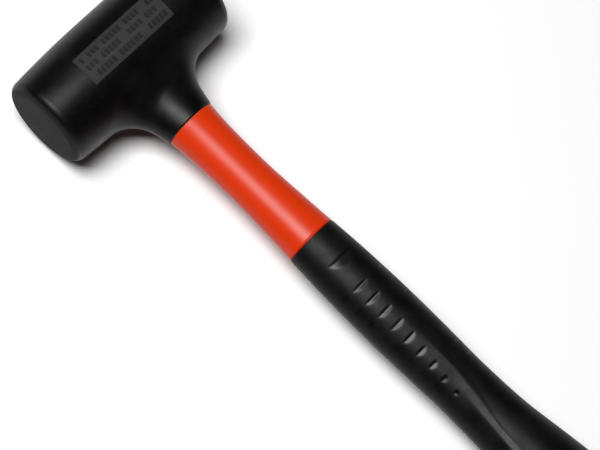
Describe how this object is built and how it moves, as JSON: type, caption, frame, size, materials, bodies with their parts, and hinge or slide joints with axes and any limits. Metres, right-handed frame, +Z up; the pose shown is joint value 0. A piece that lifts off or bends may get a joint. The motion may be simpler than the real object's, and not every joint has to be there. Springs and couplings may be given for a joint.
{
  "type": "dead blow mallet",
  "caption": "Two-faced dead blow mallet with a moulded barrel head, loose steel shot in a canister, an orange shaft sleeve and a flared rubber grip.",
  "frame": {"origin": "on the bench under the middle of the mallet as it lies, at the centre of its box", "axes": "+X along the head towards the face with the filling plug behind it, +Y along the handle from the head to the butt, +Z up, out of the head's marked side"},
  "size_m": [0.104, 0.3275, 0.0508],
  "materials": {
    "head_urethane": "satin moulded",
    "sleeve_plastic": "gloss",
    "grip_rubber": "matt moulded",
    "canister_steel": "drawn",
    "pin_steel": "oiled",
    "shot_steel": "tumbled",
    "fibreglass": "pultruded"
  },
  "bodies": {
    "mallet": {"head_shell": "head_urethane", "canister_tube": "canister_steel", "canister_cap_near": "canister_steel", "canister_cap_far": "canister_steel", "fill_plug": "pin_steel", "socket_saddle": "canister_steel", "socket_pin_1": "pin_steel", "socket_pin_2": "pin_steel", "core_rod": "fibreglass", "rod_collar": "canister_steel", "shaft_sleeve": "sleeve_plastic", "grip": "grip_rubber"},
    "shot": {"shot_layer_01": "shot_steel", "shot_layer_02": "shot_steel", "shot_layer_03": "shot_steel", "shot_layer_04": "shot_steel", "shot_layer_05": "shot_steel", "shot_layer_06": "shot_steel", "shot_layer_07": "shot_steel", "shot_layer_08": "shot_steel", "shot_layer_09": "shot_steel", "shot_layer_10": "shot_steel", "shot_layer_11": "shot_steel", "shot_layer_12": "shot_steel"}
  },
  "joints": [
    {"name": "shot_slide", "type": "slide", "parent": "mallet", "child": "shot", "axis": [1, 0, 0], "range_m": [-0.008, 0.008]}
  ]
}
